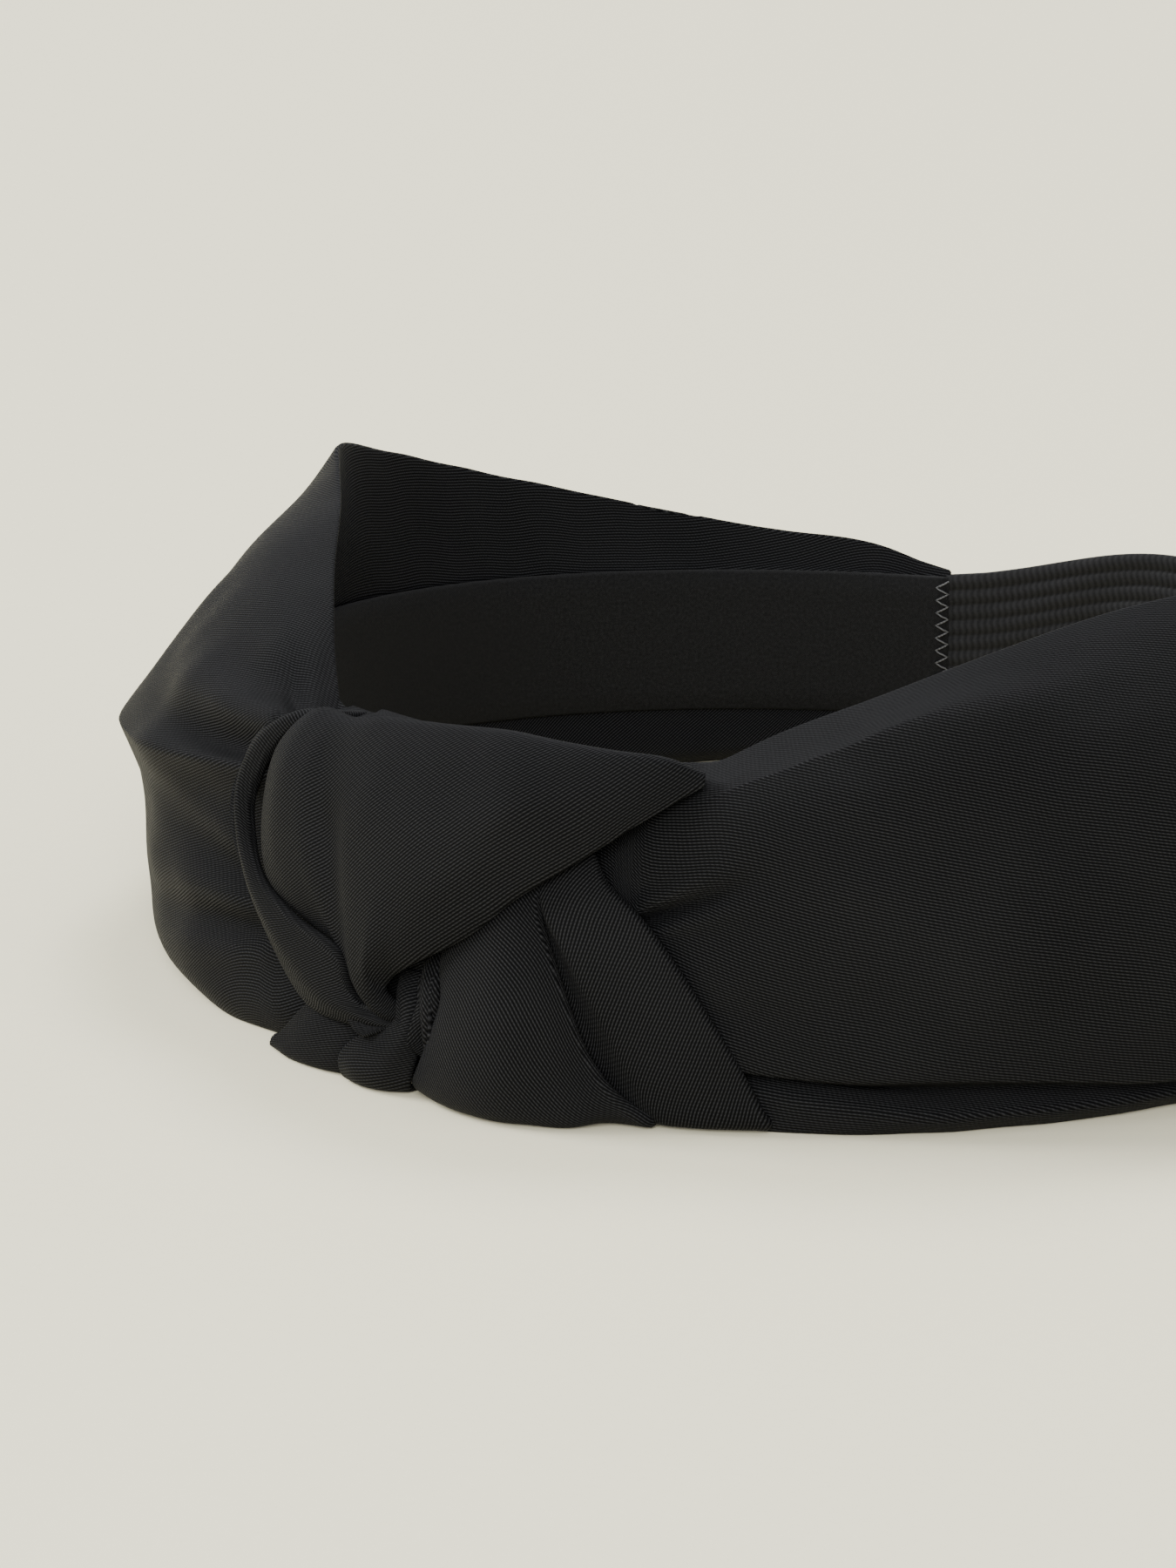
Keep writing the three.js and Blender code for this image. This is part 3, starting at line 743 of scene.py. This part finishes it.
def upper_strand():
    """The big fold over the top of the knot, with the rounded fold to its left."""
    lines = [
        [(-23.9, 36.1, 10.6), (-26.9, 32.7, 13.5), (-28.1, 27, 15), (-27.6, 21.6, 15.9), (-26.4, 18.8, 16),
         (-21.7, 16, 15.6), (-17.7, 14.2, 15.2), (-14.6, 13, 15.2)],
        [(-22.6, 36.6, 11), (-24.6, 32.4, 15), (-25.4, 27, 16.6), (-24.6, 21.6, 17), (-22.6, 18.4, 16.8),
         (-19.4, 16, 16.2), (-16.6, 14.2, 15.7), (-14.2, 13, 15.5)],
        [(-20.4, 36.5, 11.6), (-21, 32, 15.8), (-20.8, 26.4, 17.2), (-19.4, 21, 17.4), (-17.8, 17.8, 17),
         (-16, 15.6, 16.6), (-14.8, 14, 16.2), (-13.8, 13, 15.8)],
        [(-16, 36.9, 12), (-16, 31.2, 15.9), (-15.3, 26.4, 16.7), (-14.4, 21.4, 17.3), (-13.6, 17.4, 17.6),
         (-13.3, 14.3, 17.6), (-12, 10.6, 17.4), (-8.6, 7.8, 16.8), (-5.8, 7, 15.8)],
        [(-13, 37.6, 12.1), (-13, 31.5, 16.7), (-12.8, 26.5, 18.2), (-12.3, 21.4, 18.8),
         (-11.9, 17.2, 18.9), (-11.8, 14, 18.8), (-10.9, 10.9, 18.5), (-8.4, 8.7, 17.8), (-5.8, 7.9, 16.4)],
        [(-10, 37.9, 12.3), (-9.8, 31.5, 17.6), (-9.8, 25, 19.2), (-9.8, 19.5, 19.6), (-9.9, 15.6, 19.5),
         (-10, 13, 19.2), (-9.7, 11.2, 18.7), (-8.6, 9.8, 18), (-6.2, 9.2, 16.4)],
        [(-6.6, 38.2, 12.5), (-6, 31, 18.4), (-6.4, 24.4, 19.9), (-7.8, 18.5, 20.1), (-8.7, 15, 19.7),
         (-9, 13.2, 19), (-8.9, 12, 18.2), (-8.2, 11, 17)],
        [(-4, 38.4, 12.6), (-3, 31.2, 18.7), (-4, 24.8, 20.1), (-5.7, 19, 20), (-6.8, 16, 19.5),
         (-7.4, 14.4, 18.9), (-7.6, 13.2, 18), (-7.4, 12.4, 17.2)],
        [(0, 38.7, 12.8), (1, 31.6, 18.9), (-0.8, 25.4, 20.1), (-2.9, 20, 19.9), (-4, 16.8, 19.3),
         (-4.3, 15.2, 18.7), (-4.3, 14.5, 18.2)],
        [(4.7, 38.9, 13), (7, 33.2, 18.2), (5.6, 28, 19.1), (4.1, 23.3, 18.9), (3.3, 20.2, 18.5),
         (3.1, 18.9, 17.9)],
        [(9.8, 38.4, 12.7), (12, 34.6, 15.9), (11.6, 31, 16.9), (10.2, 27.2, 17.2), (8.6, 24.4, 17.4),
         (7.9, 23.2, 17)],
        [(15.5, 37.9, 12.1), (16.6, 35.6, 13.7), (16.3, 33, 14.7), (15.2, 30.4, 15.2), (14, 28.2, 15.3),
         (13.4, 27.2, 15.1)],
        [(20.3, 37.4, 11.3), (20.6, 36, 12), (20.2, 34.6, 12.6), (19.5, 33.2, 13.1), (18.6, 31.8, 13.4),
         (18, 30.8, 13.4)],
        [(23.7, 35.9, 10.2), (23.8, 35.6, 10.4), (23.8, 35.3, 10.5), (23.6, 35, 10.5)],
    ]
    lines = [over_crest(line) for line in lines]
    return knot_fold("upper_strand_cloth", lines, ("left", "lower"), turn=42, seed=11, steps=110,
                     crest=(3, 30))


def side_pleat():
    """The narrow pleat that wraps the knot's left side and runs into the pit."""
    outer = [(-27.5, 33, 1), (-28.6, 33.6, 5.5), (-29.2, 33.9, 9.5), (-32.9, 31.9, 11.6), (-34.6, 27.7, 13),
             (-33.9, 22.7, 14.2), (-31.2, 17.3, 14.9), (-26.6, 12.2, 15.6), (-22.4, 8.3, 16.2),
             (-19.3, 6.6, 16.4), (-14.6, 6.2, 16.7), (-9.6, 6.5, 16.9), (-6.6, 7, 16.6)]
    middle = [(-25.5, 33.4, 1), (-26.4, 34.4, 5.5), (-27, 35.2, 10.2), (-30.9, 32.2, 13), (-33.4, 27, 14.4),
              (-32.6, 22.4, 15.3), (-29.8, 18.2, 16.3), (-24.4, 14, 17.5), (-18.6, 10.6, 18.2),
              (-15.6, 9, 18.2), (-12.6, 8.2, 18), (-9.2, 7.6, 17.6), (-6.5, 7.5, 16.8)]
    inner = [(-24, 33.6, 1), (-24.6, 34.4, 5), (-24.8, 35.3, 9.4), (-28.8, 32, 12), (-31.8, 25.8, 13.6),
             (-31, 22.3, 14.4), (-28.4, 19.1, 15.8), (-21.8, 16.3, 17.4), (-14, 13.8, 18),
             (-12.5, 10.2, 17.6), (-10.6, 8.6, 17.2), (-8.6, 8, 16.9), (-6.5, 7.9, 16.4)]
    lines = [outer, middle, inner]
    return knot_fold("side_pleat_cloth", lines, radius=0.5, turn=-20, seed=12, steps=130)


def lower_fold():
    """The round lobe that comes up from the knot's lower edge and tucks in under the upper strand."""
    lines = [
        [(-2.6, 17, 14), (-1.6, 14, 16.6), (-0.6, 11.6, 17.8), (-1.8, 7.8, 18), (-3.4, 4.4, 17.9),
         (-4.8, 1.7, 17), (-4.6, 0.25, 15), (-4.4, 0.3, 9)],
        [(-1, 18.5, 14.2), (0, 15.6, 17.3), (0.8, 12, 19), (0, 7.8, 19.6), (-1, 4, 19.4), (-1.6, 1.2, 18.4),
         (-1, 0.25, 15.6), (0, 0.3, 9)],
        [(1, 20.5, 14.5), (2.6, 17.4, 17.8), (4.2, 13.2, 20), (4, 8, 21.2), (3.6, 3.8, 21),
         (3.4, 0.8, 19.6), (4, 0.25, 16), (4, 0.3, 9)],
        [(3.6, 23, 14.5), (5.3, 20, 17.6), (7.9, 15.4, 20.1), (8.9, 9, 21.6), (9.2, 4, 21.4),
         (9.4, 0.8, 20), (9.5, 0.25, 16), (9, 0.3, 9)],
        [(6.2, 25.2, 14.2), (7.4, 21.8, 17), (10.2, 17, 18.9), (12.4, 11.4, 19.9), (14, 5.6, 19.8),
         (15, 1, 18.8), (15, 0.25, 15.4), (14, 0.3, 9)],
        [(8.6, 26, 13.6), (9.8, 22.4, 16.1), (12, 18, 17.4), (14.2, 13.2, 18.2), (16.4, 8, 18.2),
         (19.4, 3.4, 17.4), (21.6, 0.7, 16.2), (20, 0.3, 12)],
    ]
    return knot_fold("lower_fold_cloth", lines, turn=-62, seed=13, steps=100)


def wrap_band():
    """The flat band that wraps the knot's right side, with a small pleat along its left edge."""
    lines = [
        [(5.5, 27, 12), (7, 22, 15), (9.6, 17, 16.6), (12, 12, 16.8), (15.6, 5.4, 16), (19.4, 0.9, 14.8),
         (19, 0.25, 11), (18, 0.3, 8)],
        [(6.6, 27.4, 12), (8.8, 22.4, 15), (11.5, 17.8, 16), (14, 12.6, 16.2), (17.2, 6, 16),
         (20.6, 0.9, 15), (20, 0.25, 11.5), (19, 0.3, 8)],
        [(7.8, 27.8, 12), (10.3, 22.4, 16), (13.4, 18.4, 17.1), (15.7, 14.4, 17.3), (18, 10, 17),
         (20.4, 5, 16.4), (22.6, 0.9, 15.4), (22, 0.25, 12), (21, 0.3, 8)],
        [(10.6, 28.6, 12), (13.2, 23.8, 15.4), (17, 19.4, 16.2), (19.8, 14.6, 16.6), (22.6, 9.2, 16.6),
         (25, 4, 16.2), (26.6, 0.9, 15.4), (26, 0.25, 12), (24, 0.3, 8)],
        [(12.8, 28.2, 11.8), (16, 24.9, 14), (19.9, 21.7, 14.7), (23.4, 17.6, 15.2), (26.8, 12.5, 15.5),
         (30, 6.8, 15.4), (32.4, 1, 14.7), (31.4, 0.25, 12.2), (29, 0.3, 8)],
    ]
    sharp = [0, 0, 0.35, 0, 0]
    return knot_fold("wrap_band_cloth", lines, ("right",), turn=48, seed=14, steps=100, sharp=sharp)


def corner_tuck():
    """The pointed tuck at the knot's lower left corner."""
    lines = [
        [(-19, 9, 12.5), (-22.4, 5.6, 14.4), (-25.6, 2.2, 15.2), (-27.4, 0.5, 15.2), (-26.6, 0.25, 13),
         (-25, 0.3, 9)],
        [(-16.5, 9, 13.2), (-19.4, 5.6, 16), (-22.2, 2.4, 16.6), (-23.8, 0.5, 16.2), (-23, 0.25, 13),
         (-21, 0.3, 9)],
        [(-12.5, 9, 13.6), (-14.8, 5.8, 16.2), (-16.8, 2.4, 16.8), (-17.8, 0.5, 16.3), (-17, 0.25, 13),
         (-15, 0.3, 9)],
        [(-9.5, 9, 13.6), (-11, 5.4, 15.2), (-12.4, 2.4, 15.4), (-13, 0.5, 15), (-12, 0.25, 12),
         (-11, 0.3, 9)],
    ]
    return knot_fold("base_tuck_cloth", lines, ("left",), turn=30, seed=15, steps=60)


def tongue_tuck():
    """The small round tuck that comes out of the pit."""
    lines = [
        [(-8, 12.8, 14), (-7.6, 10.6, 15.8), (-7.2, 8.4, 16.6), (-10.2, 6.2, 16.8), (-13.2, 4.6, 17),
         (-14.8, 2.4, 17.2), (-14.4, 0.6, 16.8), (-13, 0.25, 14)],
        [(-6.8, 12.8, 14.4), (-6.4, 10.6, 16.8), (-6, 8.2, 17.6), (-8, 5.9, 18.2), (-10.2, 4.2, 18.6),
         (-11.4, 2.2, 18.6), (-11.2, 0.6, 17.8), (-10.4, 0.25, 14.6)],
        [(-5.6, 12.8, 14.6), (-5.2, 10.6, 17), (-4.9, 8, 17.8), (-6, 5.4, 18.4), (-7.2, 3.6, 18.6),
         (-8, 1.8, 18.4), (-8.2, 0.6, 17.6), (-8, 0.25, 14.6)],
        [(-4.6, 12.8, 14.6), (-4.1, 10.4, 16.4), (-3.7, 7.6, 17), (-4.1, 5, 17.2), (-4.8, 3, 17.2),
         (-5.4, 1.4, 16.9), (-5.9, 0.5, 16.2), (-6, 0.25, 14)],
    ]
    return knot_fold("tongue_tuck_cloth", lines, radius=0.45, turn=35, seed=16, steps=70)


def pit_pleat():
    """The sliver of cloth between the tongue and the lower fold."""
    lines = [
        [(-4.8, 15, 14), (-4.2, 12.6, 16.2), (-3.8, 9.8, 17), (-3.3, 7, 16.9), (-3.2, 3.6, 16)],
        [(-3.6, 15.4, 14.6), (-2.9, 12.9, 17.3), (-2.5, 10.2, 18.2), (-2.6, 7.2, 18), (-3, 3.8, 17)],
        [(-2.4, 15.8, 14.6), (-1.5, 13.2, 17), (-1, 10.9, 17.8), (-1.9, 7.4, 17.6), (-2.7, 4, 16.6)],
    ]
    return knot_fold("pit_pleat_cloth", lines, radius=0.4, turn=-60, seed=17, steps=50)


def knot_backing():
    """The gathered ends of both covers. They fill the knot behind its folds, and turn up to the lining."""
    lines = [
        [(-27, 33.6, 1), (-28, 33, 4), (-29.5, 27, 8), (-29.5, 18, 9.5), (-26.5, 8, 10.5), (-24, 2, 11),
         (-22, 0.4, 9)],
        [(-15, 33.8, 1), (-15, 33.6, 5), (-15, 26, 11.4), (-14, 18, 13), (-12, 8, 13.6), (-11, 2, 13.4),
         (-10, 0.4, 9)],
        [(2, 34, 1), (2, 34.2, 5), (2, 28, 12.4), (1, 20, 14), (0, 10, 14.8), (0, 2, 14.6), (0, 0.4, 9)],
        [(14, 33.8, 1), (14, 33.2, 4.4), (13, 27, 9.4), (13, 20, 10.6), (15, 10, 11.6), (17, 2, 12),
         (17, 0.4, 9)],
        [(20, 33.4, 1), (20, 32.6, 3.4), (18, 28, 6), (18, 20, 7.4), (22, 10, 8.6), (26, 2, 9.4),
         (25, 0.4, 8)],
    ]
    inside = [(1.2, 4), (8, 1.4), (16, 0.5)]
    turned_up = [[*line, *((line[-1][0], height, offset) for height, offset in inside)] for line in lines]
    return knot_fold("backing_cloth", turned_up, (), turn=20, seed=18, steps=90, spacing=1.2)


# ---------------------------------------------------------------- lining, hoop, pad and elastic


def strip(name, material, last, width, inner, thickness, steps):
    """A flat strip on edge that follows the hoop, as one closed skin with rounded edges."""
    angles = np.linspace(-last, last, steps)
    half = width / 2
    bevel = 0.35
    rows = np.linspace(-half + bevel, half - bevel, 8)
    heights = np.concatenate([rows, [half], rows[::-1], [-half]])
    middle = inner + thickness * 0.5
    outer = inner + thickness
    offsets = np.repeat([inner, middle, outer, middle], [len(rows), 1, len(rows), 1])
    return closed_strip(name, material, angles, lambda angle: (offsets, heights))


def closed_strip(name, material, angles, section):
    """A closed tube with flat ends: section(angle) gives offsets and heights from the hoop's line."""
    rings = []
    for angle in angles:
        offsets, heights = section(angle)
        rings.append(place(angle, offsets, hoop_height(angle) + heights))
    grid = np.array(rings)
    index = np.arange(grid.shape[0] * grid.shape[1]).reshape(grid.shape[:2])
    following = np.roll(index, -1, axis=1)
    faces = np.stack([index[:-1], following[:-1], following[1:], index[1:]], -1).reshape(-1, 4).tolist()
    faces += [index[0][::-1].tolist(), index[-1].tolist()]
    round_band = np.radians(angles) * HOOP_RADIUS
    sides = np.linalg.norm(np.roll(grid[0], -1, axis=0) - grid[0], axis=1) / MM
    round_section = np.concatenate([[0], np.cumsum(sides)[:-1]])
    weave = np.stack(np.broadcast_arrays(round_band[:, None], round_section), -1)
    piece = woven_object(name, grid, faces, weave, material)
    piece.data.validate()
    for polygon in piece.data.polygons:
        polygon.use_smooth = len(polygon.vertices) == 4
    return piece


PAD_OFFSET = LINING_THICKNESS + GAP
HOOP_OFFSET = PAD_OFFSET + PAD_THICKNESS + GAP
HOOP_END = ELASTIC_FROM - 5.5  # the elastic is let in beyond the hoop
HOOP_RADIUS = 68
ELASTIC_INSET = 2.5  # degrees of the elastic that are let in at each end
ELASTIC_LIFT = 5  # the middle of the elastic rides up by this much
ELASTIC_CORDS = 9


def elastic():
    """The ribbed elastic: covered cords side by side, which ripple where it is let in."""
    first = ELASTIC_FROM - ELASTIC_INSET
    angles = np.linspace(first, 360 - first, 220)
    half = LINING_WIDTH / 2 - 0.2
    rows = np.linspace(-half, half, ELASTIC_CORDS * 8 + 1)
    ribs = np.abs(np.sin(np.pi * (rows + half) / (2 * half) * ELASTIC_CORDS)) ** 0.8

    def section(angle):
        bare = min(1.0, (angle - first) / 6, (360 - first - angle) / 6)
        quarter_turns = (angle - 180) / (180 - first)
        lifted = max(0.0, math.cos(quarter_turns * math.pi / 2)) ** 1.5
        wave = ELASTIC_LIFT * lifted + 0.3 * bare * math.sin((angle - 180) * 0.21 + 1)
        front = 0.45 - 0.35 * ribs + 0.1 * np.sin(rows * 0.6 + angle * 0.4) * bare
        back = 1.05 + 0.35 * ribs
        offsets = np.concatenate([front, back[::-1]]) + 0.5
        heights = np.concatenate([rows, rows[::-1]]) + wave
        return offsets, heights

    return closed_strip("elastic_webbing_strap", ELASTIC, angles, section)


# ---------------------------------------------------------------- stitches


DEGREES_PER_MM = math.degrees(1 / 67)  # along the lining's inner face


def stitches(name, runs, material, radius):
    """Runs of thread, each a tube through its points."""
    curve = bpy.data.curves.new(name, "CURVE")
    curve.dimensions = "3D"
    curve.bevel_depth = radius * MM
    curve.bevel_resolution = 2
    curve.use_fill_caps = True
    for run in runs:
        spline = curve.splines.new("POLY")
        spline.points.add(len(run) - 1)
        for target, spot in zip(spline.points, run):
            target.co = (*spot, 1)
    tube = bpy.data.objects.new(name, curve)
    bpy.context.scene.collection.objects.link(tube)
    bpy.context.view_layer.update()
    mesh = bpy.data.meshes.new_from_object(tube.evaluated_get(bpy.context.evaluated_depsgraph_get()))
    bpy.data.objects.remove(tube)
    mesh.name = name
    mesh.materials.clear()
    mesh.materials.append(material)
    piece = bpy.data.objects.new(name, mesh)
    bpy.context.scene.collection.objects.link(piece)
    return piece


def zigzag(angle, low, high, turns, spread):
    """A zigzag row on the inner face, each stitch arching up out of the cloth."""
    points = []
    per_stitch = 6
    for i in range(turns * per_stitch + 1):
        at = i / per_stitch
        sway = (abs(at % 2 - 1) - 0.5) * spread * DEGREES_PER_MM
        lift = 0.12 + 0.26 * math.sin(math.pi * (at % 1))
        height = hoop_height(angle) + low + (high - low) * at / turns
        points.append(place(angle + sway, -lift, height))
    return points


def seam_stitches(name, side):
    """The zigzag that sews the elastic in at one end."""
    half = LINING_WIDTH / 2 - 0.5
    row = zigzag(side * (ELASTIC_FROM - 0.6), -half, half, 21, 1.5)
    return stitches(name, [row], THREAD, 0.11)


def anchor_stitches():
    """The two rows of tacking that hold the knot to the band, on the lining behind it."""
    middle, apart, height, half = -5, 4.4, LINING_WIDTH / 3, 2
    rows = [zigzag(middle + side * apart / 2, height - half, height + half, 5, 1.2) for side in (-1, 1)]
    return stitches("knot_tacking", rows, DARK_THREAD, 0.12)


# ---------------------------------------------------------------- building the band


def flex(piece, *nodes):
    """Bakes a piece's transform into its mesh, and hides the CAD nodes that it stands in for."""
    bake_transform(piece)
    if nodes:
        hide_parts(*nodes)
    return piece


def build_band():
    """The inside of the band: lining, pad, hoop and elastic, with their stitches."""
    lining = strip("lining_cloth", LINING, ELASTIC_FROM, LINING_WIDTH, 0, LINING_THICKNESS, 260)
    flex(lining, "lining_strip")
    pad = strip("comfort_foam", FOAM, HOOP_END, PAD_WIDTH, PAD_OFFSET, PAD_THICKNESS, 200)
    flex(pad, "comfort_pad")
    hoop = strip("hoop_spring", PLASTIC, HOOP_END, HOOP_WIDTH, HOOP_OFFSET, HOOP_THICKNESS, 200)
    flex(hoop, "hoop_core")
    strap = flex(elastic(), "elastic_strap")
    flex(seam_stitches("seam_zigzag_left", -1), "seam_stitches_left")
    flex(seam_stitches("seam_zigzag_right", 1), "seam_stitches_right")
    flex(anchor_stitches(), "knot_anchor_stitches")


def build_covers():
    """The two covers, each with the stiffener behind its outer face."""
    left = cover("left_cloth", -1, LEFT_RAILS, LEFT_PLEATS, seed=3, weave_turn=24)
    flex(left, "cover_left")
    right = cover("right_cloth", 1, RIGHT_RAILS, RIGHT_PLEATS, seed=5, weave_turn=-12)
    flex(right, "cover_right")
    felt_left = stiffener("stiffener_left", -1, LEFT_RAILS, "soft ridge", "lower turn")
    flex(felt_left, "interlining_left")
    felt_right = stiffener("stiffener_right", 1, RIGHT_RAILS, "ridge", "low face")
    flex(felt_right, "interlining_right")


def build_knot():
    """The folds of the knot, from the one that lies on top to the gathers behind them all."""
    upper = flex(upper_strand(), "knot_upper_fold", "knot_left_fold")
    side = flex(side_pleat(), "knot_side_pleat")
    lower = flex(lower_fold(), "knot_lower_fold")
    wrap = flex(wrap_band(), "knot_wrap_band")
    corner = flex(corner_tuck(), "knot_base_tuck")
    tongue = flex(tongue_tuck())
    sliver = flex(pit_pleat())
    backing = flex(knot_backing())


build_band()
build_covers()
build_knot()

# ---------------------------------------------------------------- table, light and camera


def pale_table():
    """A plain table of faintly grained paper."""
    s = Shader("pale_paper")
    grain = s.noise(s.object_place(), 700.0, 3.0)
    color = s.mix(grain, (0.9, 0.85, 0.62), (0.93, 0.88, 0.65))
    material = s.finish(color, 0.95, Specular_IOR_Level=0.1)
    bpy.ops.mesh.primitive_plane_add(size=12, location=(0, 0, 0))
    table = bpy.context.object
    table.name = "table_top"
    table.data.materials.append(material)


def soft_light(name, place_at, size, watts):
    """A round area light that looks at the band."""
    data = bpy.data.lights.new(name, "AREA")
    data.shape = "DISK"
    data.size = size
    data.energy = watts
    light = bpy.data.objects.new(name, data)
    light.location = place_at
    aim = Vector((0, 0, 0.02)) - Vector(place_at)
    light.rotation_euler = aim.to_track_quat("-Z", "Y").to_euler()
    bpy.context.scene.collection.objects.link(light)


def pale_room(color, strength):
    """The even light of a pale room."""
    world = bpy.data.worlds.new("room")
    world.use_nodes = True
    background = world.node_tree.nodes["Background"]
    background.inputs["Color"].default_value = (*color, 1)
    background.inputs["Strength"].default_value = strength
    bpy.context.scene.world = world


def camera(azimuth, elevation, distance, target, lens):
    """A camera that looks at a target from a distance, at angles in degrees round and above it."""
    data = bpy.data.cameras.new("camera")
    data.lens = lens
    data.sensor_width = 36
    data.clip_end = 50
    made = bpy.data.objects.new("camera", data)
    a, e = math.radians(azimuth), math.radians(elevation)
    back = Vector((math.sin(a) * math.cos(e), -math.cos(a) * math.cos(e), math.sin(e)))
    made.location = Vector(target) + back * distance
    made.rotation_euler = (-back).to_track_quat("-Z", "Y").to_euler()
    bpy.context.scene.collection.objects.link(made)
    bpy.context.scene.camera = made


pale_table()
soft_light("window", (-2.6, -1.1, 1.9), size=1.6, watts=122)
soft_light("top", (-0.5, 1.5, 2.5), size=1.2, watts=45)
soft_light("front", (1.3, -2.6, 1.3), size=1.8, watts=116)
pale_room((0.95, 0.96, 1.0), strength=0.86)
camera(azimuth=33, elevation=15, distance=0.8, target=(-0.021, (MIDDLE_Y - 27) * MM, 0.018), lens=168)
